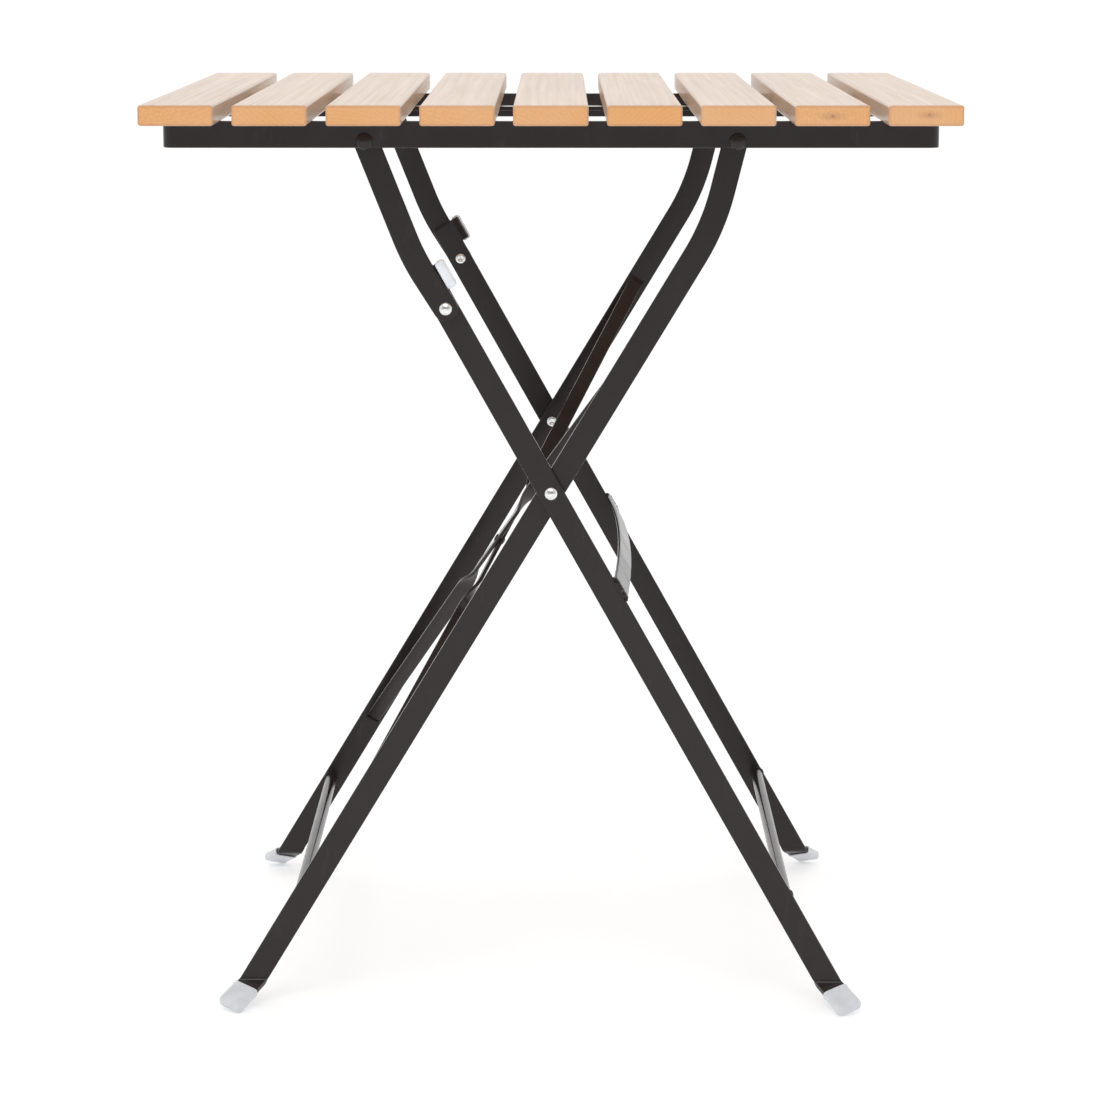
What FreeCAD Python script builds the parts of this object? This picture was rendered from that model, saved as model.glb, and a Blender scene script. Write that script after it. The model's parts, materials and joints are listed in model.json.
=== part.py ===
"""Folding slatted picnic table: wooden slats on a flat-bar ring, two crossed leg frames and a
pair of knuckled upper links that let the whole stand fold flat under the top.

Frame: millimetres, +Z up, origin on the floor under the middle of the top. X runs across the
slats, Y runs along them. Frame A is the outer leg frame, which hangs from the upper links at
its knuckles. Frame B is the inner one, which turns on the ring directly. The table is
symmetric about the plane y = 0, so each side piece is made for the back (+Y) and mirrored.
"""
import FreeCAD
import Part
import math
import os

from FreeCAD import Vector

# ---- overall sizes ----
table_width = 600.0
table_depth = 600.0
table_height = 706.0

# ---- slats ----
slat_count = 9
slat_width = 55.0
slat_thickness = 15.0
slat_edge_radius = 2.6
slat_end_chamfer = 0.8

# ---- ring under the slats ----
ring_side_overhang = 10.0
ring_end_overhang = 70.0
ring_bar_thickness = 5.0
ring_bar_height = 20.0
ring_corner_radius = 8.0
strap_width = 20.0
strap_thickness = 3.0
tab_width = 18.0
tab_length = 14.0
tab_thickness = 2.0

# ---- slat screws ----
screw_shank_radius = 1.75
screw_head_radius = 3.6
screw_head_height = 2.2
screw_depth_in_slat = 10.0
screw_hole_clearance = 0.05
screw_to_link_gap = 0.4

# ---- leg bar and the layers it lies in ----
bar_width = 19.0
bar_thickness = 5.0
ring_to_link_gap = 10.0
link_to_leg_gap = 0.5
leg_to_leg_gap = 2.0

# ---- pivot places, seen along Y ----
pivot_half_spacing = 139.3
pivot_above_ring_edge = 5.0
knuckle_x = -79.7
knuckle_drop = 157.0
crossing_x = 0.0
crossing_drop = 299.3
leg_b_angle = 31.1
leg_b_top_angle = 14.0
link_top_angle = 21.7
link_lower_angle = 32.5
bar_bend_radius = 180.0

# ---- pins and rivets ----
pin_radius = 3.0
running_clearance = 0.05
axial_play = 0.1
pin_head_radius = 6.3
pin_head_height = 3.4
rivet_head_radius = 5.0
rivet_head_height = 2.6
rivet_land = 0.5
tail_radius = 4.4
tail_height = 1.5
tail_dimple = 0.6
spacer_radius = 6.0
washer_radius = 7.0

# ---- stop ears on frame A and their plastic sleeves ----
ear_start = 13.0
ear_end = 33.0
ear_thickness = 5.0
ear_reach = 7.5
ear_bend_radius = 6.0
sleeve_wall = 1.4
sleeve_radius = 0.8
stop_clearance = 0.3
leg_top_chamfer = 2.5

# ---- stretchers ----
strip_width = 18.0
strip_thickness = 3.0
strip_from_crossing = 91.0
strip_bow = 6.5
strip_weld_flat = 12.0
tube_radius = 5.0
tube_wall = 1.2
tube_a_from_crossing = 367.0
tube_a_offset = 4.0
tube_b_from_crossing = 377.0
tube_b_offset = -2.5

# ---- X brace of frame B ----
brace_width = 12.0
brace_thickness = 3.0
brace_top_from_crossing = -143.0
brace_foot_from_crossing = 309.0
brace_twist_start = 45.0
brace_twist_end = 80.0
brace_end_offset = 1.0
brace_rivet_radius = 2.0
brace_rivet_head_radius = 3.2
brace_rivet_head_height = 1.3

# ---- feet ----
toe_bend_angle = 60.0
toe_bend_inner_radius = 3.0
toe_length = 29.0
cap_length = 23.0
cap_wall = 1.3
cap_radius = 1.8
cap_flat = 2.0

# ---- places that follow from the sizes ----
slat_bottom_z = table_height - slat_thickness
ring_bottom_z = slat_bottom_z - ring_bar_height
ring_half_x = table_width / 2 - ring_side_overhang
ring_half_y = table_depth / 2 - ring_end_overhang
ring_inner_y = ring_half_y - ring_bar_thickness
slat_pitch = (table_width - slat_width) / (slat_count - 1)

link_outer_y = ring_inner_y - ring_to_link_gap
tab_screw_y = link_outer_y + screw_head_radius + screw_to_link_gap
link_inner_y = link_outer_y - bar_thickness
leg_a_outer_y = link_inner_y - link_to_leg_gap
leg_a_inner_y = leg_a_outer_y - bar_thickness
leg_b_outer_y = leg_a_inner_y - leg_to_leg_gap
leg_b_inner_y = leg_b_outer_y - bar_thickness

pivot_z = ring_bottom_z + pivot_above_ring_edge
pivot_a = Vector(-pivot_half_spacing, 0, pivot_z)
pivot_b = Vector(pivot_half_spacing, 0, pivot_z)
knuckle = Vector(knuckle_x, 0, table_height - knuckle_drop)
crossing = Vector(crossing_x, 0, table_height - crossing_drop)
hole_radius = pin_radius + running_clearance

Y_AXIS = Vector(0, 1, 0)
FAR = 2000.0


def down_direction(degrees_from_vertical):
    """Unit vector in the XZ plane that points down and leans towards +X by the angle."""
    a = math.radians(degrees_from_vertical)
    return Vector(math.sin(a), 0, -math.cos(a))


def right_of(direction):
    """The direction in the XZ plane a quarter turn round from direction, on its +X side."""
    return Vector(-direction.z, 0, direction.x)


class LegFrame:
    """Places measured from the crossing: s down the leg, n to its right, y straight through."""

    def __init__(self, down):
        self.down = down
        self.right = right_of(down)

    def at(self, s, n, y):
        return crossing + self.down * s + self.right * n + Y_AXIS * y


frame_a = LegFrame((crossing - knuckle).normalize())
frame_b = LegFrame(down_direction(-leg_b_angle))
knuckle_to_crossing = (crossing - knuckle).Length


# ---- small helpers ----
def polygon_face(points):
    return Part.Face(Part.makePolygon(points + [points[0]]))


def wire_face(edges):
    return Part.Face(Part.Wire(edges))


def line(a, b):
    return Part.LineSegment(a, b).toShape()


def arc(a, middle, b):
    return Part.Arc(a, middle, b).toShape()


def box(x0, x1, y0, y1, z0, z1):
    return Part.makeBox(x1 - x0, y1 - y0, z1 - z0, Vector(x0, y0, z0))


def rod(x, z, y0, y1, radius):
    """Cylinder along Y from y0 to y1."""
    return Part.makeCylinder(radius, y1 - y0, Vector(x, y0, z), Y_AXIS)


def mirrored(shape):
    """The same piece on the front side of the table."""
    return shape.mirror(Vector(0, 0, 0), Y_AXIS)


def both_sides(shape):
    return Part.makeCompound([shape, mirrored(shape)])


def oriented_box(origin, along, across, normal, spans):
    """Box with its sides along three unit vectors; spans holds a (low, high) pair for each."""
    (l0, l1), (w0, w1), (h0, h1) = spans
    solid = Part.makeBox(l1 - l0, w1 - w0, h1 - h0, Vector(l0, w0, h0))
    solid.Placement = FreeCAD.Placement(FreeCAD.Matrix(
        along.x, across.x, normal.x, origin.x,
        along.y, across.y, normal.y, origin.y,
        along.z, across.z, normal.z, origin.z,
        0, 0, 0, 1))
    return solid


def meeting_point(p, direction_p, q, direction_q):
    """Where the line through p meets the line through q, both in the XZ plane."""
    gap = q - p
    cross = direction_p.x * direction_q.z - direction_p.z * direction_q.x
    along = (gap.x * direction_q.z - gap.z * direction_q.x) / cross
    return p + direction_p * along


def one_bend_bar(start, corner, end, round_end):
    """Flat bar at y = 0 from start to end, bent on an arc at corner, with a round start."""
    first = (corner - start).normalize()
    second = (end - corner).normalize()
    turn = first.getAngle(second)
    tangent = bar_bend_radius * math.tan(turn / 2)
    bend_in = corner - first * tangent
    bend_out = corner + second * tangent
    side_in = right_of(first)
    side_out = right_of(second)
    towards_centre = 1 if side_in.dot(second) > 0 else -1
    centre = bend_in + side_in * (towards_centre * bar_bend_radius)
    mid_direction = (corner - centre).normalize()
    half = bar_width / 2

    def side(sign):
        radius = bar_bend_radius - sign * towards_centre * half
        return [start + side_in * (sign * half), bend_in + side_in * (sign * half),
                centre + mid_direction * radius,
                bend_out + side_out * (sign * half), end + side_out * (sign * half)]

    left, right = side(-1), side(1)
    if round_end:
        end_edge = arc(right[4], end + second * half, left[4])
    else:
        end_edge = line(right[4], left[4])
    edges = [line(right[0], right[1]), arc(right[1], right[2], right[3]),
             line(right[3], right[4]), end_edge, line(left[4], left[3]),
             arc(left[3], left[2], left[1]), line(left[1], left[0]),
             arc(left[0], start - first * half, right[0])]
    return wire_face(edges)


def thickened(face, y0, y1):
    """Face in the plane y = 0 made into a plate from y0 to y1."""
    plate = face.extrude(Y_AXIS * (y1 - y0))
    plate.translate(Y_AXIS * y0)
    return plate


def turned(profile_edges, place):
    """Solid of revolution about the Y line through place, from (radius, y) profile edges."""
    solid = wire_face(profile_edges).revolve(Vector(0, 0, 0), Y_AXIS, 360)
    solid.translate(Vector(place.x, 0, place.z))
    return solid


def fastener(place, head_y, head_radius, head_height, tail_y):
    """Domed head outside head_y, shank, and a set tail with a dimple inside tail_y."""
    end_y = tail_y - tail_height
    land_y = head_y + rivet_land
    top_y = head_y + head_height
    rise = top_y - land_y
    sphere = (head_radius ** 2 + rise ** 2) / (2 * rise)
    half_angle = math.asin(head_radius / sphere) / 2
    dome_mid = Vector(sphere * math.sin(half_angle),
                      top_y - sphere + sphere * math.cos(half_angle), 0)
    points = [Vector(0, top_y, 0), Vector(0, end_y + tail_dimple, 0),
              Vector(tail_radius / 3, end_y, 0), Vector(tail_radius * 0.85, end_y, 0),
              Vector(tail_radius, tail_y - tail_height / 2, 0), Vector(tail_radius, tail_y, 0),
              Vector(pin_radius, tail_y, 0), Vector(pin_radius, head_y, 0),
              Vector(head_radius, head_y, 0), Vector(head_radius, land_y, 0)]
    edges = [line(a, b) for a, b in zip(points, points[1:])]
    edges.append(arc(points[-1], dome_mid, points[0]))
    return turned(edges, place)


def ring_washer(place, y0, y1, radius):
    return rod(place.x, place.z, y0, y1, radius).cut(
        rod(place.x, place.z, y0 - 1, y1 + 1, hole_radius))


# ---- the top ----
def slat_x(index):
    return (index - (slat_count - 1) / 2) * slat_pitch


def screw_places():
    return [(slat_x(i), y) for i in range(slat_count) for y in (-tab_screw_y, 0.0, tab_screw_y)]


def make_slat(index):
    x = slat_x(index)
    half = slat_width / 2
    slat = box(x - half, x + half, -table_depth / 2, table_depth / 2, slat_bottom_z, table_height)
    long_edges = [e for e in slat.Edges if abs(e.BoundBox.YLength - table_depth) < 1e-6]
    slat = slat.makeFillet(slat_edge_radius, long_edges)
    ends = [e for e in slat.Edges if e.BoundBox.YLength < 1e-6]
    slat = slat.makeChamfer(slat_end_chamfer, ends)
    for y in (-tab_screw_y, 0.0, tab_screw_y):
        slat = slat.cut(Part.makeCylinder(screw_shank_radius + screw_hole_clearance,
                                          screw_depth_in_slat + screw_hole_clearance,
                                          Vector(x, y, slat_bottom_z)))
    return slat


def rounded_rectangle(half_x, half_y, radius, z):
    plate = box(-half_x, half_x, -half_y, half_y, z, z + ring_bar_height)
    corners = [e for e in plate.Edges if e.BoundBox.ZLength > 1.0]
    return plate.makeFillet(radius, corners)


def make_ring():
    inset = ring_bar_thickness
    ring = rounded_rectangle(ring_half_x, ring_half_y, ring_corner_radius, ring_bottom_z).cut(
        rounded_rectangle(ring_half_x - inset, ring_half_y - inset, ring_corner_radius - inset,
                          ring_bottom_z))
    for pivot in (pivot_a, pivot_b):
        ring = ring.cut(rod(pivot.x, pivot.z, -FAR, FAR, hole_radius))
    return ring


def screw_hole(x, y, z0, z1):
    return Part.makeCylinder(screw_shank_radius + screw_hole_clearance, z1 - z0, Vector(x, y, z0))


def make_strap():
    half = ring_half_x - ring_bar_thickness
    z0 = slat_bottom_z - strap_thickness
    strap = box(-half, half, -strap_width / 2, strap_width / 2, z0, slat_bottom_z)
    for i in range(slat_count):
        strap = strap.cut(screw_hole(slat_x(i), 0, z0 - 1, slat_bottom_z + 1))
    return strap


def make_tab(x):
    """Fixing tab welded inside the ring under one end of a slat."""
    z0 = slat_bottom_z - tab_thickness
    tab = box(x - tab_width / 2, x + tab_width / 2, ring_inner_y - tab_length, ring_inner_y,
              z0, slat_bottom_z)
    return tab.cut(screw_hole(x, tab_screw_y, z0 - 1, slat_bottom_z + 1))


def make_screw(x, y):
    plate = strap_thickness if y == 0 else tab_thickness
    z = slat_bottom_z - plate
    head = Part.makeCylinder(screw_head_radius, screw_head_height, Vector(x, y, z - screw_head_height))
    rim = [e for e in head.Edges if e.BoundBox.ZMax < z - screw_head_height / 2]
    head = head.makeFillet(screw_head_height / 2, rim)
    shank = Part.makeCylinder(screw_shank_radius, plate + screw_depth_in_slat, Vector(x, y, z))
    return head.fuse(shank).removeSplitter()


# ---- feet ----
def toe_geometry(frame):
    """Level of the toe's bend line and the toe's own directions, on the back side."""
    bend = math.radians(toe_bend_angle)
    lean, drop = frame.down.x, -frame.down.z
    middle_radius = toe_bend_inner_radius + bar_thickness / 2
    bend_z = (-cap_flat + middle_radius * math.sin(bend)
              + drop * math.cos(bend) * (toe_length + cap_wall)
              + (bar_width / 2 + cap_wall) * abs(lean) * math.cos(bend)
              + (bar_thickness / 2 + cap_wall) * math.sin(bend))
    along = Vector(lean, drop * math.sin(bend), -drop * math.cos(bend))
    across = Vector(-drop, lean * math.sin(bend), -lean * math.cos(bend))
    normal = Vector(0, math.cos(bend), math.sin(bend))
    return bend, bend_z, middle_radius, along, across, normal


def bend_section(frame, angle, outer_y, bend_z):
    """The bar's section part of the way round the toe's bend."""
    slope = frame.down.x / -frame.down.z
    centre_x = crossing.x + slope * (crossing.z - bend_z)
    centre_x += slope * (toe_bend_inner_radius + bar_thickness / 2) * angle
    half = bar_width / 2 / -frame.down.z
    axis_y = outer_y + toe_bend_inner_radius

    def corner(x, radius):
        return Vector(x, axis_y - radius * math.cos(angle), bend_z - radius * math.sin(angle))

    near, far = toe_bend_inner_radius, toe_bend_inner_radius + bar_thickness
    return [corner(centre_x - half, near), corner(centre_x + half, near),
            corner(centre_x + half, far), corner(centre_x - half, far)]


def toe_end(frame, outer_y):
    """Middle of the toe's cut end."""
    bend, bend_z, _, along, _, _ = toe_geometry(frame)
    corners = bend_section(frame, bend, outer_y, bend_z)
    middle = (corners[0] + corners[1] + corners[2] + corners[3]) * 0.25
    return middle + along * toe_length


def with_toe(bar, frame, outer_y):
    """Cuts the bar level at the bend line and turns its end outwards as the foot."""
    bend, bend_z, _, along, across, normal = toe_geometry(frame)
    bar = bar.cut(box(-FAR, FAR, -FAR, FAR, -FAR, bend_z))
    steps = 4
    sections = [bend_section(frame, bend * i / steps, outer_y, bend_z) for i in range(steps + 1)]
    wires = [Part.makePolygon(s + [s[0]]) for s in sections]
    elbow = Part.makeLoft(wires, True, True)
    toe = polygon_face(sections[-1]).extrude(along * (toe_length * 2))
    keep = oriented_box(toe_end(frame, outer_y), along, across, normal,
                        ((-toe_length * 3, 0), (-FAR, FAR), (-FAR, FAR)))
    return bar.fuse([elbow, toe.common(keep)]).removeSplitter()


def make_cap(frame, outer_y):
    """Plastic cap pushed over a toe, worn flat where it stands on the floor."""
    _, _, _, along, across, normal = toe_geometry(frame)
    end = toe_end(frame, outer_y)
    half_w, half_t = bar_width / 2, bar_thickness / 2
    cap = oriented_box(end, along, across, normal,
                       ((-cap_length, cap_wall), (-half_w - cap_wall, half_w + cap_wall),
                        (-half_t - cap_wall, half_t + cap_wall)))
    mouth = end - along * cap_length
    closed_edges = [e for e in cap.Edges
                    if max(abs((v.Point - mouth).dot(along)) for v in e.Vertexes) > 1e-3]
    cap = cap.makeFillet(cap_radius, closed_edges)
    bar_end = oriented_box(end, along, across, normal,
                           ((-2 * cap_length, 0), (-half_w, half_w), (-half_t, half_t)))
    return cap.cut(bar_end).cut(box(-FAR, FAR, -FAR, FAR, -FAR, 0))


# ---- upper links and frame A ----
def make_link():
    start = pivot_a
    corner = meeting_point(start, down_direction(link_top_angle),
                           knuckle, down_direction(link_lower_angle))
    link = thickened(one_bend_bar(start, corner, knuckle, True), link_inner_y, link_outer_y)
    for place in (pivot_a, knuckle):
        link = link.cut(rod(place.x, place.z, 0, FAR, hole_radius))
    return link


def ear_planes():
    """The ear's inner and outer faces, counted to the right of frame A's middle line."""
    lean = math.radians(link_lower_angle) - math.atan2(frame_a.down.x, -frame_a.down.z)
    link_edge = bar_width / 2 / math.cos(lean) - (ear_start - sleeve_wall) * math.tan(lean)
    inner = link_edge + stop_clearance + sleeve_wall
    return inner, inner + ear_thickness


def ear_block(n0, n1, y0, y1, margin):
    """Box beside the link's edge, from the ear's lower end to its top."""
    return oriented_box(crossing, frame_a.down, frame_a.right, Y_AXIS * -1,
                        ((-knuckle_to_crossing - ear_end - margin,
                          -knuckle_to_crossing - ear_start + margin), (n0, n1), (-y1, -y0)))


def make_leg_a():
    half = bar_width / 2
    top = -knuckle_to_crossing - ear_end
    cut = leg_top_chamfer
    outline = [frame_a.at(top, -half + cut, 0), frame_a.at(top, half, 0), frame_a.at(FAR, half, 0),
               frame_a.at(FAR, -half, 0), frame_a.at(top + cut, -half, 0)]
    leg = thickened(polygon_face(outline), leg_a_inner_y, leg_a_outer_y)
    leg = with_toe(leg, frame_a, leg_a_outer_y)
    inner, outer = ear_planes()
    ear_y = link_inner_y + ear_reach
    r = ear_bend_radius
    start_s = -knuckle_to_crossing - ear_end

    def p(n, y):
        return frame_a.at(start_s, n, y)

    bend_middle = p(outer - r * (1 - math.sqrt(0.5)), leg_a_inner_y + r * (1 - math.sqrt(0.5)))
    section = wire_face([
        line(p(0, leg_a_outer_y), p(0, leg_a_inner_y)),
        line(p(0, leg_a_inner_y), p(outer - r, leg_a_inner_y)),
        arc(p(outer - r, leg_a_inner_y), bend_middle, p(outer, leg_a_inner_y + r)),
        line(p(outer, leg_a_inner_y + r), p(outer, ear_y)),
        line(p(outer, ear_y), p(inner, ear_y)),
        line(p(inner, ear_y), p(inner, leg_a_outer_y)),
        line(p(inner, leg_a_outer_y), p(0, leg_a_outer_y))])
    ear = section.extrude(frame_a.down * (ear_end - ear_start))
    leg = leg.fuse(ear).removeSplitter()
    for place in (knuckle, crossing):
        leg = leg.cut(rod(place.x, place.z, 0, FAR, hole_radius))
    return leg


def make_sleeve():
    inner, outer = ear_planes()
    ear_y = link_inner_y + ear_reach
    sleeve = ear_block(inner - sleeve_wall, outer + sleeve_wall, link_inner_y,
                       ear_y + sleeve_wall, sleeve_wall)
    outside = [e for e in sleeve.Edges if e.BoundBox.YMax > link_inner_y + 1]
    sleeve = sleeve.makeFillet(sleeve_radius, outside)
    return sleeve.cut(ear_block(inner, outer, 0, ear_y, 0))


def make_bowed_stretcher():
    """Flat strip welded on the right edges of frame A, bowed away to clear the X brace."""
    base = bar_width / 2
    flat_y = leg_a_outer_y - strip_weld_flat
    s0 = strip_from_crossing - strip_width / 2

    def p(n, y):
        return frame_a.at(s0, base + n, y)

    def face_line(offset):
        return [p(offset, -leg_a_outer_y), p(offset, -flat_y), p(offset + strip_bow, 0),
                p(offset, flat_y), p(offset, leg_a_outer_y)]

    low, high = face_line(0), face_line(strip_thickness)
    section = wire_face([
        line(low[0], low[1]), arc(low[1], low[2], low[3]), line(low[3], low[4]),
        line(low[4], high[4]), line(high[4], high[3]), arc(high[3], high[2], high[1]),
        line(high[1], high[0]), line(high[0], low[0])])
    return section.extrude(frame_a.down * strip_width)


def make_tube(frame, s, n, half_length):
    place = frame.at(s, n, 0)
    tube = rod(place.x, place.z, -half_length, half_length, tube_radius)
    return tube.cut(rod(place.x, place.z, -half_length - 1, half_length + 1,
                        tube_radius - tube_wall))


# ---- frame B ----
def make_leg_b():
    corner = meeting_point(pivot_b, down_direction(-leg_b_top_angle), crossing, frame_b.down)
    low_end = crossing + frame_b.down * (crossing.z / -frame_b.down.z)
    leg = thickened(one_bend_bar(pivot_b, corner, low_end, False), leg_b_inner_y, leg_b_outer_y)
    leg = with_toe(leg, frame_b, leg_b_outer_y)
    for place in (pivot_b, crossing):
        leg = leg.cut(rod(place.x, place.z, 0, FAR, hole_radius))
    return leg


def brace_crossing_s():
    return (brace_top_from_crossing + brace_foot_from_crossing) / 2


def make_brace(sign):
    """Flat strip from one leg's top to the other's foot, on edge at its ends and twisted flat
    between them. The strips lie on each other where they cross and spring apart from there."""
    half_s = (brace_foot_from_crossing - brace_top_from_crossing) / 2
    run = frame_b.down * half_s + Y_AXIS * (sign * leg_b_inner_y)
    half_length = run.Length
    along = run.normalize()
    flat_across = frame_b.right.cross(along)
    middle = frame_b.at(brace_crossing_s(), -sign * brace_thickness / 2, 0)
    spring = sign * (brace_thickness / 2 + brace_end_offset) / (half_length - brace_twist_start)

    def section(distance, turn):
        a = math.radians(turn)
        lift = spring * max(abs(distance) - brace_twist_start, 0)
        wide = flat_across * math.cos(a) + frame_b.right * math.sin(a)
        thick = frame_b.right * math.cos(a) - flat_across * math.sin(a)
        centre = middle + along * distance + frame_b.right * lift
        w, t = wide * (brace_width / 2), thick * (brace_thickness / 2)
        return [centre - w - t, centre + w - t, centre + w + t, centre - w + t]

    def skin(sections):
        return Part.makeLoft([Part.makePolygon(s + [s[0]]) for s in sections], True, True)

    steps = 6
    length = brace_twist_end - brace_twist_start
    pieces = [skin([section(-brace_twist_start, 0), section(brace_twist_start, 0)])]
    overrun = brace_width
    for way in (-1, 1):
        rings = [section(way * (brace_twist_start + length * i / steps), 90.0 * i / steps)
                 for i in range(steps + 1)]
        pieces.append(skin(rings))
        pieces.append(skin([rings[-1], section(way * (half_length + overrun), 90)]))
    strip = pieces[0].fuse(pieces[1:]).removeSplitter()
    strip = strip.common(box(-FAR, FAR, -leg_b_inner_y, leg_b_inner_y, -FAR, FAR))
    hole_start = middle - frame_b.right * brace_width
    return strip.cut(Part.makeCylinder(brace_rivet_radius + running_clearance, 2 * brace_width,
                                       hole_start, frame_b.right))


def make_brace_rivet():
    middle = frame_b.at(brace_crossing_s(), 0, 0)
    axis = frame_b.right
    reach = brace_thickness + brace_rivet_head_height
    rivet = Part.makeCylinder(brace_rivet_radius, 2 * reach, middle - axis * reach, axis)
    for way in (-1, 1):
        base = middle + axis * (way * brace_thickness)
        head = Part.makeCylinder(brace_rivet_head_radius, brace_rivet_head_height, base, axis * way)
        outer = [e for e in head.Edges
                 if len(e.Vertexes) == 1 and (e.CenterOfMass - base).Length > 1.0]
        rivet = rivet.fuse(head.makeFillet(brace_rivet_head_height * 0.6, outer))
    return rivet.removeSplitter()


def make_crossing_head():
    """Outer half of the crossing rivet: head, and shank as far as frame B."""
    whole = fastener(crossing, leg_a_outer_y, rivet_head_radius, rivet_head_height, leg_b_inner_y)
    keep = box(-FAR, FAR, leg_b_outer_y + axial_play, FAR, -FAR, FAR)
    return whole.common(keep)


def make_crossing_tail():
    """Inner half of the crossing rivet, in frame B."""
    whole = fastener(crossing, leg_a_outer_y, rivet_head_radius, rivet_head_height, leg_b_inner_y)
    return whole.common(box(-FAR, FAR, 0, leg_b_outer_y, -FAR, FAR))


# ---- every node ----
def all_nodes():
    nodes = {}
    for i in range(slat_count):
        nodes["slat_%d" % (i + 1)] = make_slat(i)
    nodes["top_ring"] = make_ring()
    nodes["centre_strap"] = make_strap()
    tabs = Part.makeCompound([make_tab(slat_x(i)) for i in range(slat_count)])
    nodes["slat_tabs_back"] = tabs
    nodes["slat_tabs_front"] = mirrored(tabs)
    nodes["slat_screws"] = Part.makeCompound([make_screw(x, y) for x, y in screw_places()])

    pin_a = fastener(pivot_a, ring_half_y, pin_head_radius, pin_head_height,
                     link_inner_y - axial_play)
    pin_b = fastener(pivot_b, ring_half_y, pin_head_radius, pin_head_height,
                     leg_b_inner_y - axial_play)
    nodes["pivot_pins_a"] = both_sides(pin_a)
    nodes["pivot_pins_b"] = both_sides(pin_b)
    nodes["spacers_a"] = both_sides(
        ring_washer(pivot_a, link_outer_y + axial_play, ring_inner_y, spacer_radius))
    nodes["spacers_b"] = both_sides(
        ring_washer(pivot_b, leg_b_outer_y + axial_play, ring_inner_y, spacer_radius))

    link, leg_a, sleeve, leg_b = make_link(), make_leg_a(), make_sleeve(), make_leg_b()
    cap_a, cap_b = make_cap(frame_a, leg_a_outer_y), make_cap(frame_b, leg_b_outer_y)
    pairs = {"upper_link": link, "leg_a": leg_a, "stop_sleeve": sleeve, "foot_cap_a": cap_a,
             "leg_b": leg_b, "foot_cap_b": cap_b}
    for name, shape in pairs.items():
        nodes[name + "_back"] = shape
        nodes[name + "_front"] = mirrored(shape)

    knuckle_rivet = fastener(knuckle, link_outer_y, rivet_head_radius, rivet_head_height,
                             leg_a_inner_y - axial_play)
    nodes["knuckle_rivets"] = both_sides(knuckle_rivet)
    nodes["crossing_rivet_heads"] = both_sides(make_crossing_head())
    nodes["crossing_rivet_tails"] = both_sides(make_crossing_tail())
    nodes["crossing_washers"] = both_sides(
        ring_washer(crossing, leg_b_outer_y + axial_play, leg_a_inner_y, washer_radius))

    nodes["bowed_stretcher"] = make_bowed_stretcher()
    nodes["tube_stretcher_a"] = make_tube(frame_a, tube_a_from_crossing, tube_a_offset,
                                          leg_a_inner_y)
    nodes["tube_stretcher_b"] = make_tube(frame_b, tube_b_from_crossing, tube_b_offset,
                                          leg_b_inner_y)
    nodes["brace_strip_lower"] = make_brace(-1)
    nodes["brace_strip_upper"] = make_brace(1)
    nodes["brace_rivet"] = make_brace_rivet()
    return nodes


def main():
    os.makedirs("parts", exist_ok=True)
    for name, shape in all_nodes().items():
        shape.exportStep("parts/%s.step" % name)
        solids = len(shape.Solids)
        print("%-22s solids %2d  valid %s  volume %.0f" % (name, solids, shape.isValid(), shape.Volume))


main()
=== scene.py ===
import json
import math
import random

import bmesh
import bpy
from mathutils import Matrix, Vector


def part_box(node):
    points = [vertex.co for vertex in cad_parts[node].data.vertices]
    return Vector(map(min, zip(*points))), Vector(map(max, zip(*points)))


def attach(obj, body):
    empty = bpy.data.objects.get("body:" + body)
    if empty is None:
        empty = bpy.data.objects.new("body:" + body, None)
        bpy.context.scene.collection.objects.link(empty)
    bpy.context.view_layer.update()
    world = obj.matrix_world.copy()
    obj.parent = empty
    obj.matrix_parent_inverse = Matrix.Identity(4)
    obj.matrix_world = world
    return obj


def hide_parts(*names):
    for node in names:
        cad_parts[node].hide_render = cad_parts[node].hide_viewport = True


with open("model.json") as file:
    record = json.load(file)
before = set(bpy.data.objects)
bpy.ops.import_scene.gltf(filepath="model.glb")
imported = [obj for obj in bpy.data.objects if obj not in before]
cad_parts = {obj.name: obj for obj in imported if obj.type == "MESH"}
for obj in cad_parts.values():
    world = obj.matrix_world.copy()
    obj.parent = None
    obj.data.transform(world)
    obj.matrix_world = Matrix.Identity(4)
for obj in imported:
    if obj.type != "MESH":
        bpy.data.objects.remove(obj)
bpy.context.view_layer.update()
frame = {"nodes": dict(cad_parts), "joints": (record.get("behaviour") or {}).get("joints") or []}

# Everything below is worked out in millimetres and written to the meshes in metres.
MM = 0.001
TABLE_TOP = "table_top"
UPPER_LINKS = "upper_links"
FRAME_A = "leg_frame_a"
FRAME_B = "leg_frame_b"
SIDES = {"back": 1, "front": -1}
X_AXIS, Y_AXIS, Z_AXIS = Vector((1, 0, 0)), Vector((0, 1, 0)), Vector((0, 0, 1))

# ---- sizes that the CAD frame doesn't carry ----
BAR_WIDTH = 19.0
BAR_THICKNESS = 5.0
BAR_EDGE = 0.75
BAR_BEND_RADIUS = 180.0
LEG_B_LEAN = 31.1
LEG_B_TOP_LEAN = 14.0
LINK_TOP_LEAN = 21.7
LINK_LOWER_LEAN = 32.5
RING_THICKNESS = 5.0
RING_CORNER = 8.0
STRIP_THICKNESS = 3.0
STRIP_WIDTH = 18.0
STRIP_BOW = 6.5
STRIP_WELD_FLAT = 12.0
TUBE_RADIUS = 5.0
BRACE_WIDTH = 12.0
BRACE_THICKNESS = 3.0
BRACE_TOP = -143.0
BRACE_FOOT = 309.0
BRACE_TWIST = (45.0, 80.0)
BRACE_END_OFFSET = 1.0
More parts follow.
